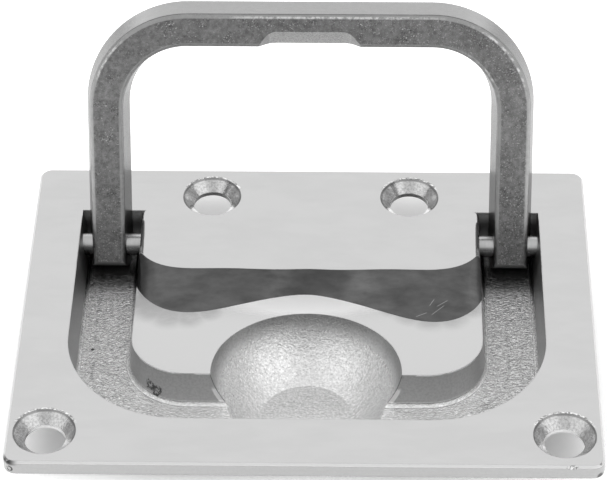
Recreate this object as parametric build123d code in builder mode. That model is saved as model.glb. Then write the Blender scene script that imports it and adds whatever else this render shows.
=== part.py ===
from build123d import *

import os
from math import acos, atan2, cos, hypot, pi, radians, tan

# A flush lifting handle: a cast base plate with a bail that folds down into a U-shaped groove.
# Millimetres. The origin is the centre of the flange's underside, the face that seats on the panel.
# +X runs along the plate, +Y to its rear, where the bail is hinged, and +Z out of the panel.
# The bail stands up, leaning back on the rear edges of its two slots.

# Flange
PLATE_WIDTH = 76.0
PLATE_DEPTH = 58.0
FLANGE_THICKNESS = 2.0
PLATE_CORNER = 1.6
PLATE_EDGE_BREAK = 0.3

# Screw holes, all for the same countersunk screw
SCREW_HOLE_DIAMETER = 5.2
COUNTERSINK_DIAMETER = 8.1
COUNTERSINK_ANGLE = 90.0
REAR_HOLE_SPACING = 27.4
REAR_HOLE_INSET = 5.8
FRONT_HOLE_SIDE_INSET = 4.9
FRONT_HOLE_INSET = 5.6

# Groove that the bail folds into, and the wall of the pan around it
GROOVE_SIDE_BORDER = 6.55
GROOVE_FRONT_BORDER = 8.2
GROOVE_REAR_BORDER = 8.9
GROOVE_CORNER = 15.2
GROOVE_DEPTH = 6.2
GROOVE_DRAFT = 7.0
GROOVE_FLOOR_ROUND = 0.8
PAN_WALL = 1.8

# Island inside the groove
ISLAND_SIDE_GROOVE = 8.3
ISLAND_FRONT_GROOVE = 9.4
ISLAND_CORNER = 7.6
ISLAND_DRAFT = 5.0

# Polished dip across the island: a cove under the edge of its rear plateau, and the flat front land
PLATEAU_BORDER = 20.9
PLATEAU_END_SWEEP = 4.5
PLATEAU_SIDE_ROUND = 0.6
DIP_OVERHANG = 0.3
COVE_RUN = 4.75
COVE_RUN_WAVE = 2.5
COVE_WAVE_LENGTH = 34.0
COVE_SKEW = 3.0
COVE_END_SWEEP = 4.0
DIP_END_SHARPNESS = 12
LAND_FRONT_DEPTH = 1.0
LAND_SLOPE = 5.5

# Finger bowl, a flat-bottomed ball shape at the middle of the island's front edge
BOWL_RADIUS = 12.7
BOWL_CENTRE_RISE = 1.2
BOWL_BEHIND_EDGE = 0.8
BOWL_DEPTH = 9.9

# Pivot pins
PIN_DIAMETER = 3.0
PIN_AHEAD_OF_SLOT_REAR = 3.75
PIN_BELOW_TOP = 2.9
PIN_BLIND_DEPTH = 1.0
PIN_SEAT_CLEARANCE = 0.01
PIN_RUNNING_CLEARANCE = 0.05
PIN_END_CLEARANCE = 0.1
PIN_CHAMFER = 0.2
PIN_CHANNEL_ROOM = 0.5

# Bail
BAIL_SIDE_GAP = 1.0
BAIL_FRONT_GAP = 3.15
BAIL_WIDTH = 5.8
BAIL_THICKNESS = 4.75
BAIL_DRAFT = 8.5
BAIL_CORNER = 14.0
BAIL_EDGE_ROUND = 0.8
BAIL_EYE_RADIUS = 3.0
BAIL_STOP_GAP = 0.05

# Finger notch, a bevel along the inner edge of the bail's cross bar
NOTCH_WIDTH = 14.2
NOTCH_TOP_WIDTH = 10.6
NOTCH_HEIGHT = 2.15
NOTCH_CORNER = 2.0

# Levels and places that follow from the sizes above
TOP = FLANGE_THICKNESS
GROOVE_FLOOR = TOP - GROOVE_DEPTH
PAN_BOTTOM = GROOVE_FLOOR - PAN_WALL
FRONT_HOLE_SPACING = PLATE_WIDTH - 2 * FRONT_HOLE_SIDE_INSET
GROOVE_WIDTH = PLATE_WIDTH - 2 * GROOVE_SIDE_BORDER
ISLAND_WIDTH = GROOVE_WIDTH - 2 * ISLAND_SIDE_GROOVE
GROOVE_FRONT = GROOVE_FRONT_BORDER - PLATE_DEPTH / 2
SLOT_REAR = PLATE_DEPTH / 2 - GROOVE_REAR_BORDER
ISLAND_FRONT = GROOVE_FRONT + ISLAND_FRONT_GROOVE
PLATEAU_FRONT = PLATE_DEPTH / 2 - PLATEAU_BORDER
LAND_FALL = tan(radians(LAND_SLOPE))
HOLLOW_TOP = TOP - LAND_FRONT_DEPTH - (PLATEAU_FRONT - ISLAND_FRONT) * LAND_FALL - PAN_WALL
BOWL_FLOOR = TOP - BOWL_DEPTH
BOWL_FRONT = GROOVE_FRONT + GROOVE_DEPTH * tan(radians(GROOVE_DRAFT)) + GROOVE_FLOOR_ROUND
BOWL_CENTRE = (0, ISLAND_FRONT + BOWL_BEHIND_EDGE, TOP + BOWL_CENTRE_RISE)
PIN_Y = SLOT_REAR - PIN_AHEAD_OF_SLOT_REAR
PIN_Z = TOP - PIN_BELOW_TOP
PIN_OUTER_END = GROOVE_WIDTH / 2 + PIN_BLIND_DEPTH
PIN_INNER_END = ISLAND_WIDTH / 2 - 2 * PAN_WALL
PIN_LENGTH = PIN_OUTER_END - PIN_INNER_END - 2 * PIN_END_CLEARANCE
OVERRUN = 3.0

# The bail leans until the back of each leg rests on the rear top edge of its slot.
STOP_REACH = BAIL_THICKNESS / 2 + BAIL_STOP_GAP
STOP_CORNER = hypot(PIN_AHEAD_OF_SLOT_REAR, PIN_BELOW_TOP)
LEAN = acos(STOP_REACH / STOP_CORNER) - atan2(PIN_BELOW_TOP, PIN_AHEAD_OF_SLOT_REAR)
BAIL_HALF_WIDTH = GROOVE_WIDTH / 2 - BAIL_SIDE_GAP
BAIL_REACH = PIN_Y - GROOVE_FRONT - BAIL_FRONT_GAP
BAIL_TAPER = BAIL_THICKNESS * tan(radians(BAIL_DRAFT))
SIDES = (-1, 1)


def open_u(half_width, front, rear, corner):
    """Closed outline with two round corners in front and two square ones at its rear."""
    with BuildLine() as line:
        FilletPolyline(
            (-half_width, rear),
            (-half_width, front),
            (half_width, front),
            (half_width, rear),
            radius=corner,
        )
        Line((half_width, rear), (-half_width, rear))
    return line.wire()


def bail_outline(inset):
    """Closed outline that runs the inset inside the bail's outer edge, and on below its feet."""
    half_width = BAIL_HALF_WIDTH - inset
    top = BAIL_REACH - inset
    foot = -BAIL_EYE_RADIUS - OVERRUN
    with BuildLine() as line:
        FilletPolyline(
            (half_width, foot),
            (half_width, top),
            (-half_width, top),
            (-half_width, foot),
            radius=BAIL_CORNER - inset,
        )
        Line((-half_width, foot), (half_width, foot))
    return line.wire()


# The dip's cutter is lofted through sections across the island.
DIP_HALF_WIDTH = ISLAND_WIDTH / 2 + DIP_OVERHANG
DIP_SECTION_PLACES = (0.0, 0.35, 0.62, 0.8, 0.92, 1.0)
LAND_PLANE = Plane(
    origin=(0, ISLAND_FRONT, TOP - LAND_FRONT_DEPTH),
    x_dir=(1, 0, 0),
    z_dir=(0, LAND_FALL, 1),
)


def dip_section(x):
    """Section of the cutter: a cove, steep under the plateau's edge, that runs on below the land."""
    end_sweep = abs(x / DIP_HALF_WIDTH) ** DIP_END_SHARPNESS
    edge = PLATEAU_FRONT + PLATEAU_END_SWEEP * end_sweep
    run = COVE_RUN - COVE_RUN_WAVE * cos(2 * pi * x / COVE_WAVE_LENGTH)
    foot = PLATEAU_FRONT - run - x * tan(radians(COVE_SKEW)) + COVE_END_SWEEP * end_sweep
    foot_z = TOP - LAND_FRONT_DEPTH - (foot - ISLAND_FRONT) * LAND_FALL
    front = ISLAND_FRONT - DIP_OVERHANG
    third = (edge - foot) / 3
    drop = TOP - foot_z
    with BuildSketch(Plane.YZ.offset(x)) as section:
        with BuildLine():
            Bezier(
                (edge, TOP),
                (edge - third, TOP - drop * 0.4),
                (foot + third, foot_z + drop * 0.25),
                (foot, foot_z),
            )
            Polyline(
                (foot, foot_z),
                (front, foot_z - OVERRUN),
                (front, TOP + OVERRUN),
                (edge, TOP + OVERRUN),
                (edge, TOP),
            )
        make_face()
    return section.sketch


with BuildPart() as dip:
    places = [-place for place in reversed(DIP_SECTION_PLACES)] + list(DIP_SECTION_PLACES[1:])
    loft([dip_section(place * DIP_HALF_WIDTH) for place in places])
    with Locations(LAND_PLANE):
        Box(
            2 * PLATE_WIDTH,
            2 * PLATE_DEPTH,
            PLATE_DEPTH,
            align=(Align.CENTER, Align.CENTER, Align.MIN),
            mode=Mode.INTERSECT,
        )

# Hollow under the island, open below and to the rear, with the bowl's shell left standing in it
with BuildPart() as island_hollow:
    hollow_rear = SLOT_REAR + PAN_WALL + OVERRUN
    hollow_plane = Plane.XY.offset(HOLLOW_TOP)
    with BuildSketch(hollow_plane):
        make_face(open_u(PIN_INNER_END, ISLAND_FRONT + PAN_WALL, hollow_rear, ISLAND_CORNER))
    extrude(amount=PAN_BOTTOM - HOLLOW_TOP)
    draft(island_hollow.faces().filter_by(Axis.Z, reverse=True), hollow_plane, ISLAND_DRAFT)
    plateau_hollow_front = PLATEAU_FRONT + PAN_WALL
    with BuildSketch(Plane.XY):
        with Locations((0, plateau_hollow_front)):
            Rectangle(
                2 * PIN_INNER_END,
                hollow_rear - plateau_hollow_front,
                align=(Align.CENTER, Align.MIN),
            )
    extrude(amount=HOLLOW_TOP)
    with Locations(BOWL_CENTRE):
        Sphere(BOWL_RADIUS + PAN_WALL, mode=Mode.SUBTRACT)

with BuildPart() as bowl_shell:
    with Locations(BOWL_CENTRE):
        Sphere(BOWL_RADIUS + PAN_WALL)
    shell_front = GROOVE_FRONT - PAN_WALL
    shell_height = -(BOWL_FLOOR - PAN_WALL)
    with Locations((0, shell_front, 0)):
        Box(
            4 * BOWL_RADIUS,
            4 * BOWL_RADIUS,
            shell_height,
            align=(Align.CENTER, Align.MIN, Align.MAX),
            mode=Mode.INTERSECT,
        )

with BuildPart() as bowl:
    with Locations(BOWL_CENTRE):
        Sphere(BOWL_RADIUS)
    with Locations((0, BOWL_FRONT, BOWL_FLOOR)):
        Box(
            4 * BOWL_RADIUS,
            4 * BOWL_RADIUS,
            4 * BOWL_RADIUS,
            align=(Align.CENTER, Align.MIN, Align.MIN),
            mode=Mode.INTERSECT,
        )

# Groove and island, extruded down from the flange's top plane and drafted
TOP_PLANE = Plane.XY.offset(TOP)

with BuildPart() as groove:
    with BuildSketch(TOP_PLANE):
        make_face(open_u(GROOVE_WIDTH / 2, GROOVE_FRONT, SLOT_REAR, GROOVE_CORNER))
    extrude(amount=-GROOVE_DEPTH)
    draft(groove.faces().filter_by(Axis.Z, reverse=True), TOP_PLANE, -GROOVE_DRAFT)

with BuildPart() as island:
    with BuildSketch(TOP_PLANE):
        make_face(open_u(ISLAND_WIDTH / 2, ISLAND_FRONT, SLOT_REAR, ISLAND_CORNER))
    extrude(amount=-GROOVE_DEPTH)
    draft(island.faces().filter_by(Axis.Z, reverse=True), TOP_PLANE, ISLAND_DRAFT)

# Base plate, one casting: flange, pan with its groove, island, dip, bowl, screw holes and pin bores
with BuildPart() as base_plate:
    with BuildSketch(Plane.XY):
        RectangleRounded(PLATE_WIDTH, PLATE_DEPTH, PLATE_CORNER)
    extrude(amount=FLANGE_THICKNESS)
    rim = base_plate.edges().group_by(Axis.Z)[-1]
    chamfer(rim, PLATE_EDGE_BREAK)
    with BuildSketch(Plane.XY):
        make_face(
            open_u(
                GROOVE_WIDTH / 2 + PAN_WALL,
                GROOVE_FRONT - PAN_WALL,
                SLOT_REAR + PAN_WALL,
                GROOVE_CORNER + PAN_WALL,
            )
        )
    extrude(amount=PAN_BOTTOM)
    add(bowl_shell.part)
    add(groove.part, mode=Mode.SUBTRACT)
    add(island.part)
    floor_edges = base_plate.edges().filter_by_position(Axis.Z, GROOVE_FLOOR, GROOVE_FLOOR)
    fillet(floor_edges, GROOVE_FLOOR_ROUND)
    add(island_hollow.part, mode=Mode.SUBTRACT)
    add(dip.part, mode=Mode.SUBTRACT)
    plateau_sides = base_plate.edges().filter_by(Axis.Y)
    plateau_sides = plateau_sides.filter_by_position(Axis.Z, TOP, TOP)
    plateau_sides = plateau_sides.filter_by_position(Axis.X, -ISLAND_WIDTH / 2, ISLAND_WIDTH / 2)
    fillet(plateau_sides, PLATEAU_SIDE_ROUND)
    add(bowl.part, mode=Mode.SUBTRACT)
    with Locations(TOP_PLANE):
        with Locations((0, PLATE_DEPTH / 2 - REAR_HOLE_INSET)):
            with GridLocations(REAR_HOLE_SPACING, 1, 2, 1):
                CounterSinkHole(
                    SCREW_HOLE_DIAMETER / 2,
                    COUNTERSINK_DIAMETER / 2,
                    counter_sink_angle=COUNTERSINK_ANGLE,
                )
        with Locations((0, FRONT_HOLE_INSET - PLATE_DEPTH / 2)):
            with GridLocations(FRONT_HOLE_SPACING, 1, 2, 1):
                CounterSinkHole(
                    SCREW_HOLE_DIAMETER / 2,
                    COUNTERSINK_DIAMETER / 2,
                    counter_sink_angle=COUNTERSINK_ANGLE,
                )
    for side in SIDES:
        with BuildSketch(Plane.YZ.offset(side * PIN_OUTER_END)):
            with Locations((PIN_Y, PIN_Z)):
                Circle(PIN_DIAMETER / 2 + PIN_SEAT_CLEARANCE)
        channel_end = PIN_INNER_END - PIN_LENGTH - PIN_CHANNEL_ROOM
        extrude(amount=side * (channel_end - PIN_OUTER_END), mode=Mode.SUBTRACT)

# Bail, one casting. Its own plane has X along the pins, Y up the legs and Z out of its front face.
BAIL_PLANE = Plane(
    origin=(0, PIN_Y, PIN_Z),
    x_dir=(1, 0, 0),
    z_dir=(0, -cos(LEAN), cos(pi / 2 - LEAN)),
)
BACK_PLANE = BAIL_PLANE.offset(-BAIL_THICKNESS / 2)
FRONT_PLANE = BAIL_PLANE.offset(BAIL_THICKNESS / 2)
BAIL_SIDE_PLANE = Plane(origin=BAIL_PLANE.origin, x_dir=BAIL_PLANE.y_dir, z_dir=(1, 0, 0))
NOTCH_EDGE = BAIL_REACH - BAIL_WIDTH + BAIL_TAPER
NOTCH_TOP = NOTCH_EDGE + NOTCH_HEIGHT
NOTCH_SLANT = (NOTCH_HEIGHT + BAIL_TAPER) / BAIL_THICKNESS
NOTCH_FLARE = (NOTCH_WIDTH - NOTCH_TOP_WIDTH) / 2 / NOTCH_HEIGHT
NOTCH_ROOM = 1.0

with BuildPart() as handle:
    with BuildSketch(BACK_PLANE):
        make_face(bail_outline(0))
        make_face(bail_outline(BAIL_WIDTH), mode=Mode.SUBTRACT)
    extrude(amount=BAIL_THICKNESS)
    feet = handle.faces().group_by(Axis(BAIL_PLANE.origin, BAIL_PLANE.y_dir))[0]
    draft(handle.faces() - handle.faces().filter_by(BAIL_PLANE) - feet, BACK_PLANE, BAIL_DRAFT)
    front_face = handle.faces().sort_by(Axis(BAIL_PLANE.origin, BAIL_PLANE.z_dir))[-1]
    fillet(front_face.edges(), BAIL_EDGE_ROUND)
    with BuildSketch(BAIL_SIDE_PLANE):
        Circle(BAIL_EYE_RADIUS)
        Rectangle(
            BAIL_REACH + OVERRUN,
            2 * BAIL_THICKNESS,
            align=(Align.MIN, Align.CENTER),
        )
    extrude(amount=BAIL_HALF_WIDTH + OVERRUN, both=True, mode=Mode.INTERSECT)
    with BuildSketch(FRONT_PLANE.offset(NOTCH_ROOM)):
        with BuildLine(Location((0, NOTCH_ROOM * NOTCH_SLANT))):
            mouth = NOTCH_EDGE - OVERRUN
            mouth_half = NOTCH_WIDTH / 2 + OVERRUN * NOTCH_FLARE
            FilletPolyline(
                (mouth_half, mouth),
                (NOTCH_TOP_WIDTH / 2, NOTCH_TOP),
                (-NOTCH_TOP_WIDTH / 2, NOTCH_TOP),
                (-mouth_half, mouth),
                radius=NOTCH_CORNER,
            )
            Line((-mouth_half, mouth), (mouth_half, mouth))
        make_face()
    notch_run = BAIL_THICKNESS + 2 * NOTCH_ROOM
    extrude(
        amount=notch_run * hypot(1, NOTCH_SLANT),
        dir=-BAIL_PLANE.z_dir - BAIL_PLANE.y_dir * NOTCH_SLANT,
        mode=Mode.SUBTRACT,
    )
    with BuildSketch(BAIL_SIDE_PLANE):
        Circle(PIN_DIAMETER / 2 + PIN_RUNNING_CLEARANCE)
    extrude(amount=BAIL_HALF_WIDTH + OVERRUN, both=True, mode=Mode.SUBTRACT)

# Pivot pins, pushed in along the channels under the plateau, across the slot, into the side wall
with BuildPart() as right_pivot_pin:
    with BuildSketch(Plane.YZ.offset(PIN_INNER_END + PIN_END_CLEARANCE)):
        with Locations((PIN_Y, PIN_Z)):
            Circle(PIN_DIAMETER / 2)
    extrude(amount=PIN_LENGTH)
    chamfer(right_pivot_pin.edges(), PIN_CHAMFER)

with BuildPart() as left_pivot_pin:
    add(mirror(right_pivot_pin.part, about=Plane.YZ))

base_plate.part.label = "base_plate"
handle.part.label = "handle"
left_pivot_pin.part.label = "left_pivot_pin"
right_pivot_pin.part.label = "right_pivot_pin"

os.makedirs("parts", exist_ok=True)
export_step(base_plate.part, "parts/base_plate.step")
export_step(handle.part, "parts/handle.step")
export_step(left_pivot_pin.part, "parts/left_pivot_pin.step")
export_step(right_pivot_pin.part, "parts/right_pivot_pin.step")
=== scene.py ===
import math
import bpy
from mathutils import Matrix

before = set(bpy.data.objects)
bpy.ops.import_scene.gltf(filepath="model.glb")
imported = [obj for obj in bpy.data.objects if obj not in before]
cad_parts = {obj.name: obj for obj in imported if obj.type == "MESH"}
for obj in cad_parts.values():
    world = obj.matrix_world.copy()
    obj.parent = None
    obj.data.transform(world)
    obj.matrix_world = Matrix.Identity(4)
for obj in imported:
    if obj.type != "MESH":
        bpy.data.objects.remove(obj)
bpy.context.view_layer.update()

from types import SimpleNamespace

import bpy
from mathutils import Matrix

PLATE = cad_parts["base_plate"]
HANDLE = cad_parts["handle"]
PINS = [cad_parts["left_pivot_pin"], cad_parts["right_pivot_pin"]]

# Places and sizes in millimetres, in the row frame: the flange's underside is z = 0
MM_PER_METRE = 1000.0
HINGE = (0.0, 16.35, -0.9)
LEAN = math.radians(21.52)
FLOOR_Z = -9.75
FLANGE_SIDE = (37.4, 37.6)
FLANGE_END = (28.4, 28.6)
BOWL_CENTRE = (0.0, -10.6, 3.2)
BOWL_RADIUS = 12.7
BOWL_LIP_RADIUS = 12.9
GROOVE_FLOOR = (-4.0, -4.1)
UNDER_GROOVE = (-4.3, -4.4)
COUNTERSINKS = ((33.1, -23.4), (13.7, 23.2))
COUNTERSINK_SLOPE = 0.707
# The land is the plane z = -LAND_DROP - LAND_SLOPE * y
LAND_DROP = 0.13
LAND_SLOPE = 0.0963
BAR_TOP = (32.6, 33.0)
BAR_UNDERSIDE = (26.0, 27.0)

# The mould's seam on the groove's floor: corner of its bend, and its left and right radii
SEAM_CORNER = (19.9, -5.6)
SEAM_RADII = (8.7, 6.9)

# Marks on the plate, and reflections and light painted on it, from the photograph
PITS = (
    {"centre": (-28.9, -1.5, -4.2), "radius": 0.22, "amount": 0.85},
    {"centre": (7.4, -5.9, -5.6), "radius": 0.24, "amount": 0.9},
    {"centre": (0.1, -4.0, -7.1), "radius": 0.4, "amount": 0.4},
)
SCRATCHES = (
    {"centre": (17.4, 1.9), "angle": 42, "half_length": 1.3},
    {"centre": (18.0, 3.0), "angle": 35, "half_length": 1.0},
    {"centre": (16.6, 3.1), "angle": 58, "half_length": 0.7},
    {"centre": (15.2, 1.2), "angle": 21, "half_length": 0.9},
)
SCRATCH_HALF_WIDTH = 0.05
# Painted reflections on the land below the dip's two deep corners, as (x, y, radius)
CORNER_REFLECTIONS = (
    (-22.4, 4.2, 2.3),
    (-20.9, 2.2, 2.3),
    (-18.6, 0.9, 2.2),
    (-16.0, 0.8, 2.0),
    (-13.4, 1.8, 1.6),
    (21.4, 3.2, 1.9),
    (19.0, 1.1, 2.2),
    (16.4, 0.7, 2.2),
    (13.8, 1.6, 2.0),
    (11.4, 2.9, 1.5),
)
# Places in the dip where its painted dark reflection is lighter, as (x, y, radius)
COVE_LIGHTER_SPOTS = ((-4.2, 6.6, 1.6), (7.2, 6.5, 1.7))
STAIN_LOOPS = ((-20.4, -10.0, -2.5), (-19.7, -10.6, -2.9))
STAIN_LOOP_RADIUS = 0.55
TARNISH_CENTRE = (-37.6, -28.9, 1.9)
TARNISH_RADIUS = 1.1
CURL_CENTRE = (-37.2, -29.0, 0.75)
CURL_RADIUS = 0.42
BRUISE_CENTRE = (37.5, -28.8, 0.2)
BRUISE_RADIUS = 0.5
# The nick and the patch of painted light are long spots: their centres are in the stretched space
NICK_STRETCH = (0.42, 1.0, 1.0)
NICK_CENTRE = (14.2, -29.0, 1.85)
NICK_RADIUS = 0.32
PAINTED_LIGHT_STRETCH = (0.27, 1.0, 0.0)
PAINTED_LIGHT_CENTRE = (-0.16, 4.0, 0.0)
PAINTED_LIGHT_RADIUS = 2.8
# Outer corners of the bail, rubbed and with a painted highlight
RUBBED_AND_HIGHLIT_CORNERS = (((-27.3, 24.1, 25.2), 2.6), ((26.4, 24.6, 26.2), 5.0))

# Tones of the surfaces, as the darkest and lightest that their noise gives
TOP_TONES = (0.625, 0.65)
# Painted dark reflection in the dip's cove
COVE_REFLECTION_TONES = (0.04, 0.24)
GROOVE_TONES = (0.86, 1.0)
BOWL_TONES = (0.76, 0.94)
COUNTERSINK_TONES = (0.46, 0.66)
RIM_TONES = (0.34, 0.42)
BAIL_FRONT_TONES = (0.16, 0.3)
BAIL_TOP_TONES = (0.35, 0.45)
# Painted shade: the bail's sides darker than its top
BAIL_SIDE_SHADE_TONES = (0.11, 0.18)
BAIL_BACK_TONES = (0.56, 0.64)
NOTCH_TONES = (0.18, 0.44)
PIN_TONES = (0.5, 0.66)
FILLET_TONE = 0.92
# Painted shade in the slots behind the bail's feet
SLOT_SHADE_TONE = 0.42
HOLE_EDGE_TONE = 0.3
LAND_TONE = 0.66
# Tone of the painted reflections of the dip's corners on the land
CORNER_REFLECTION_TONE = 0.47
# Tone of the pale matt patch of painted light at the land's middle
PAINTED_LIGHT_TONE = 0.97
# Painted highlight on the flange's broken edge
CHAMFER_HIGHLIGHT_TONE = 0.8
PIT_TONE = 0.05
STAIN_TONE = 0.06
TARNISH_TONE = 0.05
BAIL_PIT_TONE = 0.04
BAIL_DOT_TONE = 0.75
# Painted shade beside the bail's bright front edge
BAIL_EDGE_SHADE_TONE = 0.08
# Painted highlights, over 1, so that a thin line comes out bright in spite of the grey around it
LAND_EDGE_HIGHLIGHT_TONE = 2.0
BOWL_LIP_HIGHLIGHT_TONE = 1.8
# Painted shade on steep walls: what their tone is multiplied by, for most and for those that face
# the front
WALL_SHADE_FACTORS = (0.48, 0.6)
# The part of the plate's grain noise over which its tones spread
GRAIN_SPREAD = (0.34, 0.62)

# Depth of the bumps and radius of the softened edges, in metres
PLATE_BUMP = 0.00036
PLATE_EDGE = 0.00018
BAIL_BUMP = 0.0002
BAIL_EDGE = 0.0002


class Graph:
    """Short calls for making shader nodes, in which an input is a number, a tuple or a socket.

    A mask is a number from 0, nowhere, to 1, fully.
    """

    def __init__(self, tree):
        self.tree = tree
        tree.nodes.clear()

    def put(self, socket, value):
        if isinstance(value, bpy.types.NodeSocket):
            self.tree.links.new(value, socket)
        else:
            socket.default_value = value

    def node(self, kind, inputs, **settings):
        made = self.tree.nodes.new(kind)
        for name, value in settings.items():
            setattr(made, name, value)
        for name, value in inputs.items():
            self.put(made.inputs[name], value)
        return made

    def math(self, operation, a, b=0.0):
        return self.node("ShaderNodeMath", {0: a, 1: b}, operation=operation).outputs[0]

    def plus(self, a, b):
        return self.math("ADD", a, b)

    def minus(self, a, b):
        return self.math("SUBTRACT", a, b)

    def absolute(self, value):
        return self.math("ABSOLUTE", value)

    def inverse(self, mask):
        return self.math("SUBTRACT", 1.0, mask)

    def times(self, first, *others):
        for other in others:
            first = self.math("MULTIPLY", first, other)
        return first

    def most(self, first, *others):
        for other in others:
            first = self.math("MAXIMUM", first, other)
        return first

    def vector_math(self, operation, a, b=(0.0, 0.0, 0.0)):
        made = self.node("ShaderNodeVectorMath", {0: a, 1: b}, operation=operation)
        gives_number = operation in ("DOT_PRODUCT", "LENGTH", "DISTANCE")
        return made.outputs["Value" if gives_number else "Vector"]

    def split(self, vector):
        return self.node("ShaderNodeSeparateXYZ", {0: vector}).outputs

    def vector(self, x, y):
        return self.node("ShaderNodeCombineXYZ", {0: x, 1: y}).outputs[0]

    def length(self, x, y):
        return self.vector_math("LENGTH", self.vector(x, y))

    def step(self, value, low, high, out_low=0.0, out_high=1.0):
        """Smooth change from out_low to out_high as value goes from low to high."""
        inputs = {"Value": value, 1: low, 2: high, 3: out_low, 4: out_high}
        made = self.node("ShaderNodeMapRange", inputs, interpolation_type="SMOOTHSTEP")
        return made.outputs[0]

    def near(self, value, centre, far, close):
        """1 where value is less than close from centre, 0 where it is more than far from it."""
        return self.step(self.absolute(self.minus(value, centre)), far, close)

    def mix(self, factor, a, b):
        """Mix of two numbers."""
        return self.node("ShaderNodeMix", {0: factor, 2: a, 3: b}, data_type="FLOAT").outputs[0]

    def paint(self, tone, mask, amount, new_tone):
        """The tone with the new one laid over it, by at most amount."""
        return self.mix(self.times(mask, amount), tone, new_tone)

    def scaled(self, value, mask, factor):
        """The value, times factor where the mask is 1."""
        return self.times(value, self.mix(mask, 1.0, factor))

    def noise(self, place, scale, detail=2.0, rough=0.5, distort=0.0):
        inputs = {
            "Vector": place,
            "Scale": scale,
            "Detail": detail,
            "Roughness": rough,
            "Distortion": distort,
        }
        return self.node("ShaderNodeTexNoise", inputs).outputs["Fac"]

    def stretch(self, place, scale):
        return self.vector_math("MULTIPLY", place, scale)

    def distance(self, place, centre):
        return self.vector_math("DISTANCE", place, centre)

    def spot(self, place, centre, radius, soft=0.3):
        """1 inside a ball, 0 outside it."""
        away = self.distance(place, centre)
        return self.step(away, radius * (1 - soft), radius * (1 + soft), 1.0, 0.0)

    def spots(self, flat_place, circles, soft):
        """1 inside any of the circles, given as (x, y, radius) and seen from above."""
        made = [self.spot(flat_place, (x, y, 0.0), radius, soft) for x, y, radius in circles]
        return self.most(*made)

    def scratch(self, x, y, centre, angle, half_length):
        """1 on a short thin straight line seen from above, 0 elsewhere."""
        east = self.minus(x, centre[0])
        north = self.minus(y, centre[1])
        cos = math.cos(math.radians(angle))
        sin = math.sin(math.radians(angle))
        along = self.plus(self.times(east, cos), self.times(north, sin))
        across = self.minus(self.times(north, cos), self.times(east, sin))
        line = self.step(
            self.absolute(across), SCRATCH_HALF_WIDTH * 0.5, SCRATCH_HALF_WIDTH, 1.0, 0.0
        )
        ends = self.step(self.absolute(along), half_length * 0.7, half_length, 1.0, 0.0)
        return self.times(line, ends)

    def grey(self, value):
        return self.node("ShaderNodeCombineColor", {0: value, 1: value, 2: value}).outputs[0]

    def softened(self, radius):
        """The normal, with edges rounded by radius."""
        return self.node("ShaderNodeBevel", {"Radius": radius}, samples=4).outputs[0]

    def bump(self, height, strength, distance, normal):
        inputs = {
            "Height": height,
            "Strength": strength,
            "Distance": distance,
            "Normal": normal,
        }
        return self.node("ShaderNodeBump", inputs).outputs[0]


def metal(name):
    """A new metal material, its graph, place in millimetres, normal, and principled shader."""
    material = bpy.data.materials.new(name)
    material.use_nodes = True
    g = Graph(material.node_tree)
    at = g.node("ShaderNodeTexCoord", {})
    place = g.stretch(at.outputs["Object"], (MM_PER_METRE, MM_PER_METRE, MM_PER_METRE))
    shader = g.node("ShaderNodeBsdfPrincipled", {"Metallic": 1.0})
    g.node("ShaderNodeOutputMaterial", {"Surface": shader.outputs[0]})
    return material, g, place, at.outputs["Normal"], shader


def dress(obj, material):
    obj.data.materials.clear()
    obj.data.materials.append(material)


def plate_zones(g, place, normal):
    """The plate's places, normals and noises, and a mask of each of its surfaces."""
    m = SimpleNamespace(place=place)
    m.x, m.y, m.z = g.split(place)
    _, m.ny, m.nz = g.split(normal)
    m.aside = g.absolute(m.x)
    m.flat_place = g.stretch(place, (1.0, 1.0, 0.0))

    m.grain = g.noise(place, 3.2, 4.0, 0.65)
    m.worm = g.noise(g.stretch(place, (1.6, 2.4, 2.0)), 1.0, 2.5, 0.5, 1.5)
    m.smear = g.noise(g.stretch(place, (0.12, 0.3, 0.2)), 1.0, 3.0, 0.6)
    m.smudge = g.noise(g.stretch(place, (0.22, 0.5, 0.5)), 1.0, 4.0, 0.6)

    # Polished: the level top, and the dip between the holes with its cove and its land
    m.level = g.step(m.nz, 0.75, 0.78)
    dished = g.times(g.step(m.nz, 0.48, 0.52), g.step(g.absolute(m.y), 19.0, 18.8))
    m.polished = g.times(g.most(m.level, dished), g.step(m.z, -1.5, -1.2))
    m.cove = g.times(m.polished, g.step(m.ny, -0.03, -0.08))
    m.land = g.times(m.polished, g.step(m.ny, 0.03, 0.07))

    # The flange's rim, and the broken edge above it
    outer = g.most(g.step(m.aside, *FLANGE_SIDE), g.step(g.absolute(m.y), *FLANGE_END))
    m.rim = g.times(outer, g.inverse(m.level))
    m.chamfer = g.times(m.rim, g.step(m.nz, 0.4, 0.6))

    # Cast: the bowl, the fillets, the slots behind the bail's feet, and all steep walls
    m.from_bowl = g.distance(place, BOWL_CENTRE)
    on_ball = g.near(m.from_bowl, BOWL_RADIUS, 0.12, 0.06)
    m.bowl = g.most(on_ball, g.step(m.z, *UNDER_GROOVE))
    m.fillet = g.times(g.step(m.nz, 0.3, 0.45), g.step(m.nz, 0.97, 0.93))
    m.fillet = g.times(m.fillet, g.step(m.z, -2.6, -3.0), g.inverse(m.bowl))
    m.slot = g.times(g.step(m.y, 7.5, 12.5), g.step(m.z, 1.9, 1.6), g.step(m.aside, 33.0, 32.5))
    m.steep = g.step(m.nz, 0.5, 0.25)

    # Countersinks
    m.cone = g.times(g.near(m.nz, COUNTERSINK_SLOPE, 0.04, 0.02), g.step(m.z, -0.1, 0.0))
    m.cone = g.times(m.cone, g.step(g.absolute(m.y), 18.0, 18.8))
    return m


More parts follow.
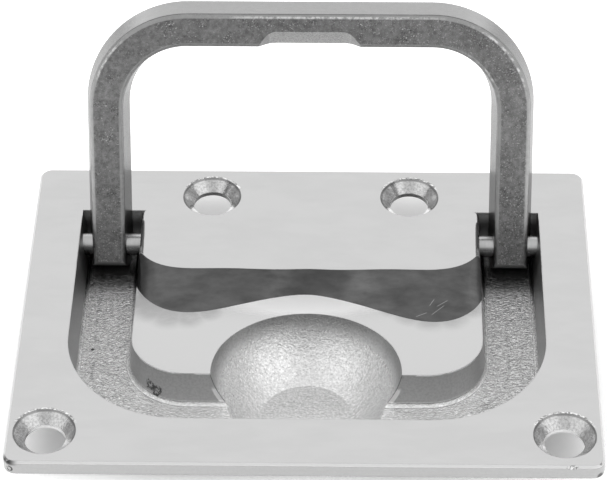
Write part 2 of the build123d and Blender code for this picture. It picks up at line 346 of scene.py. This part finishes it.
def plate_cast_tone(g, m):
    """Tone of the groove, the walls, the bowl and the countersinks."""
    groove_tone = g.step(m.grain, *GRAIN_SPREAD, *GROOVE_TONES)
    bowl_tone = g.step(m.grain, *GRAIN_SPREAD, *BOWL_TONES)
    tone = g.mix(m.bowl, groove_tone, bowl_tone)
    # Painted shade: steep walls darker than the floor
    wall_shade = g.mix(g.step(m.ny, -0.4, -0.8), *WALL_SHADE_FACTORS)
    tone = g.scaled(tone, m.steep, wall_shade)

    # Painted highlight along the edge where the land meets the island's front wall
    above_land = g.plus(g.plus(m.z, LAND_DROP), g.times(m.y, LAND_SLOPE))
    land_edge_highlight = g.times(g.step(above_land, -0.22, -0.1), g.step(m.ny, -0.5, -0.7))
    land_edge_highlight = g.times(land_edge_highlight, m.steep, g.step(m.y, -7.0, -8.0))
    tone = g.mix(g.times(land_edge_highlight, g.step(m.smear, 0.4, 0.5)), tone, LAND_EDGE_HIGHLIGHT_TONE)

    # Painted shade inside the bowl's rear rim, then the fillets' tone, then painted shade in the
    # slots and under the bail's feet
    bowl_rim_shade = g.times(m.bowl, g.step(m.ny, -0.45, -0.9), g.step(m.nz, 0.7, 0.2))
    tone = g.scaled(tone, bowl_rim_shade, 0.5)
    tone = g.paint(tone, m.fillet, 0.7, FILLET_TONE)
    # Painted shade in the slots behind the bail's feet, deeper under the feet
    tone = g.paint(tone, m.slot, 0.85, SLOT_SHADE_TONE)
    shade_under_foot = g.times(m.slot, g.step(m.y, 9.5, 12.5), g.step(m.y, 17.0, 15.0))
    tone = g.scaled(tone, shade_under_foot, 0.5)

    # Countersinks, darker at their top edge
    cone_tone = g.step(m.grain, *GRAIN_SPREAD, *COUNTERSINK_TONES)
    cone_tone = g.mix(g.step(m.z, 1.72, 1.86), cone_tone, HOLE_EDGE_TONE)
    tone = g.mix(m.cone, tone, cone_tone)

    # Painted highlight: a bright line where the bowl runs out into the groove's walls
    bowl_lip_highlight = g.times(g.near(m.from_bowl, BOWL_LIP_RADIUS, 0.55, 0.2), g.step(m.z, -1.0, -2.6))
    return g.mix(g.times(bowl_lip_highlight, g.inverse(m.bowl)), tone, BOWL_LIP_HIGHLIGHT_TONE)


def plate_polished_tone(g, m):
    """Tone of the level top, and of the dip's cove with a dark reflection painted on it."""
    top_tone = g.step(m.smear, 0.3, 0.7, *TOP_TONES)
    # Painted dark reflection in the cove
    cove_reflection_tone = g.mix(m.smudge, *COVE_REFLECTION_TONES)
    # Spots where the cove's painted reflection is lighter
    lighter_reflection = g.times(g.spots(m.flat_place, COVE_LIGHTER_SPOTS, 0.9), g.step(m.smudge, 0.3, 0.6))
    cove_reflection_tone = g.scaled(cove_reflection_tone, lighter_reflection, 1.35)
    # The painted reflection is darker where the cove is steeper
    cove_reflection_tone = g.times(cove_reflection_tone, g.step(m.nz, 0.72, 0.95, 0.74, 1.0))
    return g.mix(m.cove, top_tone, cove_reflection_tone)


def countersink_burrs(g, m):
    """Mask of the burrs along the rear half of each countersink's edge."""
    edges = []
    for hole_x, hole_y in COUNTERSINKS:
        behind = g.minus(m.y, hole_y)
        around = g.length(g.minus(m.aside, hole_x), behind)
        edges.append(g.times(g.step(around, 4.45, 4.2), g.step(behind, 1.2, 2.2)))
    broken = g.step(g.absolute(g.minus(m.worm, 0.5)), 0.04, 0.1)
    return g.times(g.most(*edges), m.level, broken)


def groove_seam(g, m):
    """Mask of the mould's faint seam along the groove's floor."""
    corner_x, corner_y = SEAM_CORNER
    east = g.most(g.minus(m.aside, corner_x), 0.0)
    front = g.math("MINIMUM", g.minus(m.y, corner_y), 0.0)
    wander = g.mix(m.smear, -0.4, 0.4)
    radius = g.mix(g.step(m.x, -1.0, 1.0), *SEAM_RADII)
    off = g.minus(g.plus(g.length(east, front), wander), radius)
    line = g.step(g.absolute(off), 0.3, 0.05)
    line = g.times(line, g.step(m.z, *GROOVE_FLOOR), g.step(m.aside, 20.0, 23.0))
    return g.times(line, g.step(m.smudge, 0.35, 0.6))


def plate_marks(g, m, tone):
    """The tone with the pits, stain, tarnish, scratches, nick and seam over it."""
    for pit in PITS:
        tone = g.paint(tone, g.spot(m.place, pit["centre"], pit["radius"]), pit["amount"], PIT_TONE)

    loops = []
    for centre in STAIN_LOOPS:
        away = g.plus(g.distance(m.place, centre), g.mix(m.worm, -0.8, 0.8))
        loops.append(g.near(away, STAIN_LOOP_RADIUS, 0.32, 0.08))
    stain = g.times(g.most(*loops), g.step(m.grain, 0.3, 0.44))
    tone = g.paint(tone, stain, 0.9, STAIN_TONE)

    tarnish = g.spot(m.place, TARNISH_CENTRE, TARNISH_RADIUS, 0.6)
    tarnish = g.times(tarnish, g.times(g.step(m.z, 1.2, 1.6), m.rim))
    curl = g.near(g.distance(m.place, CURL_CENTRE), CURL_RADIUS, 0.16, 0.05)
    tarnish = g.most(tarnish, g.times(curl, g.step(m.grain, 0.4, 0.5)))
    tone = g.paint(tone, tarnish, 0.95, TARNISH_TONE)

    for line in SCRATCHES:
        tone = g.paint(tone, g.times(g.scratch(m.x, m.y, **line), m.polished), 0.3, 1.0)

    nick = g.spot(g.stretch(m.place, NICK_STRETCH), NICK_CENTRE, NICK_RADIUS)
    tone = g.paint(tone, nick, 0.8, g.step(m.grain, 0.44, 0.56, 0.12, 0.95))
    tone = g.paint(tone, g.spot(m.place, BRUISE_CENTRE, BRUISE_RADIUS), 0.85, STAIN_TONE)
    return g.scaled(tone, groove_seam(g, m), 0.8)


def plate_roughness(g, m):
    polished = g.step(m.smear, 0.35, 0.75, 0.05, 0.09)
    polished = g.mix(m.cove, polished, g.mix(m.smudge, 0.12, 0.2))
    cast = g.mix(m.steep, g.mix(m.grain, 0.2, 0.3), g.mix(m.grain, 0.34, 0.46))
    rough = g.mix(m.polished, cast, polished)
    rough = g.mix(g.most(m.fillet, m.cone), rough, g.mix(m.grain, 0.16, 0.26))
    rough = g.mix(m.land, rough, g.step(m.y, -1.5, 3.0, 0.1, 0.24))
    rough = g.mix(m.rim, rough, 0.3)
    return g.mix(m.chamfer, rough, 0.6)


def plate_normal(g, m):
    """Worm-like cast texture, soft edges, and a land whose polish leans a little."""
    height = g.plus(m.worm, g.times(m.grain, 0.16))
    cast = g.times(g.inverse(m.polished), g.inverse(m.rim))
    cast = g.scaled(cast, g.most(g.times(m.fillet, 0.6), m.cone), 0.12)
    cast = g.scaled(cast, m.slot, 0.3)
    strength = g.mix(m.bowl, g.step(m.nz, 0.35, 0.15, 1.0, 0.15), 0.36)
    height = g.times(height, g.times(cast, strength))
    tilt = g.vector(g.times(m.land, m.x, -0.0025), g.times(m.land, 0.05))
    leaning = g.vector_math("ADD", g.softened(PLATE_EDGE), tilt)
    return g.bump(height, 1.0, PLATE_BUMP, g.vector_math("NORMALIZE", leaning))


def plate_material():
    """Cast metal whose top, dip and rim are polished."""
    material, g, place, normal, shader = metal("plate_metal")
    m = plate_zones(g, place, normal)
    tone = g.mix(m.polished, plate_cast_tone(g, m), plate_polished_tone(g, m))
    # Painted reflections of the dip's deep corners on the land
    corner_reflection = g.times(g.spots(m.flat_place, CORNER_REFLECTIONS, 0.6), m.land)
    corner_reflection = g.times(corner_reflection, g.step(m.smudge, 0.3, 0.6, 0.7, 1.0))
    tone = g.mix(m.land, tone, g.mix(corner_reflection, LAND_TONE, CORNER_REFLECTION_TONE))
    tone = g.mix(countersink_burrs(g, m), tone, g.step(m.worm, 0.42, 0.56, 0.26, 1.0))
    tone = g.mix(m.rim, tone, g.mix(m.grain, *RIM_TONES))
    # Painted highlight on the broken edge above the rim
    tone = g.mix(m.chamfer, tone, CHAMFER_HIGHLIGHT_TONE)
    tone = plate_marks(g, m, tone)

    # Painted light: a pale matt patch at the land's middle, which hides the cove's mirror image
    # there
    painted_light = g.spot(g.stretch(place, PAINTED_LIGHT_STRETCH), PAINTED_LIGHT_CENTRE, PAINTED_LIGHT_RADIUS, 0.35)
    painted_light = g.times(painted_light, m.land)
    g.put(shader.inputs["Base Color"], g.grey(g.mix(painted_light, tone, PAINTED_LIGHT_TONE)))
    g.put(shader.inputs["Metallic"], g.inverse(painted_light))
    g.put(shader.inputs["Roughness"], plate_roughness(g, m))
    g.put(shader.inputs["Normal"], plate_normal(g, m))
    return material


def bail_zones(g, place, normal):
    """The bail's places and noises, and a mask of each of its surfaces."""
    m = SimpleNamespace(place=place)
    m.x = g.split(place)[0]
    m.nx = g.split(normal)[0]
    front = (0.0, -math.cos(LEAN), math.sin(LEAN))
    m.facing = g.vector_math("DOT_PRODUCT", normal, front)
    m.from_hinge = g.vector_math("SUBTRACT", place, HINGE)
    m.up = g.vector_math("DOT_PRODUCT", m.from_hinge, (0.0, math.sin(LEAN), math.cos(LEAN)))

    m.front = g.step(m.facing, 0.2, 0.5)
    m.edge = g.times(g.step(m.facing, 0.25, 0.45), g.inverse(g.step(m.facing, 0.93, 0.99)))
    m.back = g.step(m.facing, -0.8, -0.95)
    m.notch = g.times(g.step(m.facing, 0.42, 0.46), g.step(m.facing, 0.6, 0.56))
    in_bar = g.times(g.step(m.up, 32.5, 32.0), g.step(m.up, *BAR_UNDERSIDE))
    m.notch = g.times(m.notch, in_bar, g.step(g.absolute(m.x), 9.0, 8.0))

    m.grain = g.noise(place, 1.6, 5.0, 0.7)
    m.fine = g.noise(place, 5.0, 2.0, 0.6)
    m.patch = g.noise(place, 0.35, 3.0, 0.6)
    m.dots = g.step(m.fine, 0.58, 0.68)
    m.pits = g.times(g.step(m.fine, 0.38, 0.31), g.step(m.patch, 0.5, 0.6))
    return m


def bail_front_tone(g, m):
    """Dark cast face with bright dots, most near the feet and to the right, and dark pits."""
    tone = g.step(m.grain, 0.3, 0.68, *BAIL_FRONT_TONES)
    tone = g.times(tone, g.step(m.up, 18.0, 30.0, 1.0, 0.84))
    tone = g.times(tone, g.step(m.patch, 0.3, 0.6, 1.08, 0.9))
    crowd = g.most(g.step(m.patch, 0.5, 0.62), g.step(m.up, 9.0, 4.0))
    crowd = g.most(crowd, g.step(m.x, 2.0, 14.0, 0.0, 0.6))
    tone = g.mix(g.times(m.dots, g.mix(crowd, 0.3, 0.8)), tone, BAIL_DOT_TONE)
    return g.paint(tone, m.pits, 0.85, BAIL_PIT_TONE)


def bail_edge_tone(g, m):
    """Front edges, bright in broken lines of wear and painted highlight along the bar and the outer
    corners.
    """
    rubbed_and_highlit = g.times(g.step(m.up, *BAR_TOP), g.near(m.x, 3.0, 18.0, 9.0))
    for corner, reach in RUBBED_AND_HIGHLIT_CORNERS:
        rubbed_and_highlit = g.most(rubbed_and_highlit, g.spot(m.place, corner, reach, 0.5))
    outermost = g.step(g.vector_math("LENGTH", m.from_hinge), 30.0, 33.0)
    rubbed_and_highlit = g.times(rubbed_and_highlit, outermost)
    # The bright line along the front edge: wear and a painted highlight
    line = g.times(g.step(m.facing, 0.72, 0.82), g.step(m.facing, 0.985, 0.95))
    line = g.times(line, g.step(g.plus(m.grain, g.times(m.patch, 0.5)), 0.66, 0.84))
    return g.mix(g.times(line, rubbed_and_highlit), 0.42, 0.9)


def handle_material():
    """Cast bail: a speckled dark front, satin sides with painted shade, edges with wear, painted
    highlight and painted shade, and a polished back.
    """
    material, g, place, normal, shader = metal("handle_metal")
    m = bail_zones(g, place, normal)
    # Painted shade: the sides darker than the top
    sideways = g.step(g.absolute(m.nx), 0.4, 0.7)
    tone = g.mix(sideways, g.mix(m.grain, *BAIL_TOP_TONES), g.mix(m.grain, *BAIL_SIDE_SHADE_TONES))
    tone = g.mix(m.front, tone, bail_front_tone(g, m))
    tone = g.paint(tone, m.edge, 0.75, bail_edge_tone(g, m))

    # Painted shade: a dark line beside the bright front edge
    line = g.times(g.step(m.facing, 0.24, 0.32), g.step(m.facing, 0.52, 0.42))
    tone = g.paint(tone, line, g.step(m.patch, 0.25, 0.5, 0.3, 0.75), BAIL_EDGE_SHADE_TONE)
    tone = g.mix(m.notch, tone, g.step(m.fine, 0.35, 0.65, *NOTCH_TONES))
    tone = g.mix(m.back, tone, g.mix(m.patch, *BAIL_BACK_TONES))
    g.put(shader.inputs["Base Color"], g.grey(tone))

    rough = g.mix(m.front, g.mix(m.grain, 0.24, 0.36), 0.46)
    rough = g.paint(rough, m.edge, 0.8, 0.33)
    g.put(shader.inputs["Roughness"], g.mix(m.back, rough, 0.09))

    height = g.plus(g.times(m.grain, 0.7), g.times(m.dots, 0.5))
    height = g.minus(height, g.times(m.pits, 0.5))
    height = g.times(height, g.step(m.facing, 0.2, 0.6, 0.25, 1.0), g.inverse(m.back))
    g.put(shader.inputs["Normal"], g.bump(height, 0.8, BAIL_BUMP, g.softened(BAIL_EDGE)))
    return material


def pin_material():
    """Turned steel, dark below, where the slot's shade falls on it."""
    material, g, place, normal, shader = metal("pin_metal")
    turning = g.noise(g.stretch(place, (1.5, 0.5, 0.5)), 1.0, 3.0, 0.6)
    upward = g.step(g.split(normal)[2], 0.0, 0.85)
    tone = g.mix(upward, 0.1, g.mix(turning, *PIN_TONES))
    g.put(shader.inputs["Base Color"], g.grey(tone))
    g.put(shader.inputs["Roughness"], g.mix(turning, 0.2, 0.3))
    return material


def make_world():
    """Pale studio, whose walls the metal mirrors; the camera itself sees plain white.

    A white backdrop is behind (+Y), a slightly dimmer sheet is above and over the camera, and a
    soft box is at each side of the camera. The rest of the room is grey.
    """
    grey, backdrop_level, sheet_level = 0.38, 1.0, 0.8
    right_box, left_box = 1.22, 1.08
    sheet_edge = (math.sin(math.radians(50)), math.sin(math.radians(56)))

    world = bpy.data.worlds.new("studio")
    world.use_nodes = True
    bpy.context.scene.world = world
    g = Graph(world.node_tree)
    x, y, z = g.split(g.node("ShaderNodeTexCoord", {}).outputs["Generated"])
    backdrop = g.times(g.step(y, -0.05, 0.3), g.step(g.absolute(x), 0.9, 0.72))
    level = g.mix(backdrop, grey, backdrop_level)
    over_camera = g.times(g.step(z, 0.3, 0.5), g.step(y, 0.1, -0.1))
    level = g.mix(g.most(g.step(z, *sheet_edge), over_camera), level, sheet_level)
    beside = g.times(g.step(z, 0.1, 0.3), g.step(z, 0.96, 0.88), g.step(y, 0.1, -0.1))
    for toward, strength in ((x, right_box), (g.times(x, -1.0), left_box)):
        level = g.mix(g.times(g.step(toward, 0.25, 0.42), beside), level, strength)
    room = g.node("ShaderNodeBackground", {"Color": g.grey(level), "Strength": 1.0})
    white = g.node("ShaderNodeBackground", {"Color": (1, 1, 1, 1), "Strength": 1.0})
    seen = g.node("ShaderNodeLightPath", {}).outputs["Is Camera Ray"]
    both = g.node("ShaderNodeMixShader", {0: seen, 1: room.outputs[0], 2: white.outputs[0]})
    g.node("ShaderNodeOutputWorld", {"Surface": both.outputs[0]})


def floor_material():
    """Matt sheet, which the camera and the metal see as white away from the pan and darker under
    it, where a shadow is painted.
    """
    # The outline of the shadow painted under the pan, in metres, and how far past it the sheet
    # turns white, sooner at the front
    half_width, rear, front = 0.033, 0.034, -0.0165
    front_gain, pale_over = 2.2, 0.011

    material = bpy.data.materials.new("floor_white")
    material.use_nodes = True
    g = Graph(material.node_tree)
    x, y, _ = g.split(g.node("ShaderNodeTexCoord", {}).outputs["Object"])
    past_x = g.most(g.minus(g.absolute(x), half_width), 0.0)
    past_y = g.most(g.minus(y, rear), g.times(g.minus(front, y), front_gain), 0.0)
    # Under the pan the sheet is darker for the camera and the metal: a painted shadow over the real
    # one
    outside_painted_shadow = g.step(g.length(past_x, past_y), 0.0, pale_over)
    plain = g.node("ShaderNodeBsdfDiffuse", {"Color": (0.85, 0.85, 0.85, 1)})
    paler = g.grey(g.mix(outside_painted_shadow, 0.92, 1.3))
    bright = g.node("ShaderNodeBsdfDiffuse", {"Color": paler})
    glow = g.mix(outside_painted_shadow, 0.0, 0.4)
    glow = g.node("ShaderNodeEmission", {"Color": (1, 1, 1, 1), "Strength": glow})
    lit = g.node("ShaderNodeAddShader", {0: bright.outputs[0], 1: glow.outputs[0]})
    path = g.node("ShaderNodeLightPath", {}).outputs
    seen = g.most(path["Is Camera Ray"], path["Is Glossy Ray"])
    both = g.node("ShaderNodeMixShader", {0: seen, 1: plain.outputs[0], 2: lit.outputs[0]})
    g.node("ShaderNodeOutputMaterial", {"Surface": both.outputs[0]})
    return material


def make_floor():
    """White sheet just under the pan, which keeps the plate's shadow, deepened there by a shadow
    painted under the pan.
    """
    half = 3.0
    z = FLOOR_Z / MM_PER_METRE
    corners = [(-half, -half, z), (half, -half, z), (half, half, z), (-half, half, z)]
    mesh = bpy.data.meshes.new("floor")
    mesh.from_pydata(corners, [], [(0, 1, 2, 3)])
    floor = bpy.data.objects.new("floor", mesh)
    bpy.context.scene.collection.objects.link(floor)
    floor.data.materials.append(floor_material())


def make_camera():
    """Camera at the photograph's place, in metres, with its pitch, yaw and roll in degrees."""
    place = (0.00725, -0.28866, 0.26489)
    pitch, yaw, roll = math.radians(40.961), math.radians(-1.527), math.radians(-0.605)
    lens, sensor_width, clip_start = 174.0, 36.0, 0.01

    turn = Matrix.Rotation(yaw, 3, "Z")
    tip = Matrix(
        (
            (1, 0, 0),
            (0, -math.sin(pitch), -math.cos(pitch)),
            (0, math.cos(pitch), -math.sin(pitch)),
        )
    )
    lean = Matrix.Rotation(roll, 3, "Z")
    rows = lean @ tip @ turn
    axes = Matrix((rows[0], -rows[1], -rows[2])).transposed()
    data = bpy.data.cameras.new("camera")
    data.sensor_width = sensor_width
    data.lens = lens
    data.clip_start = clip_start
    camera = bpy.data.objects.new("camera", data)
    bpy.context.scene.collection.objects.link(camera)
    camera.matrix_world = Matrix.Translation(place) @ axes.to_4x4()
    bpy.context.scene.camera = camera


bpy.context.scene.view_settings.view_transform = "Standard"
dress(PLATE, plate_material())
dress(HANDLE, handle_material())
pin_look = pin_material()
for pin in PINS:
    dress(pin, pin_look)
make_world()
make_floor()
make_camera()
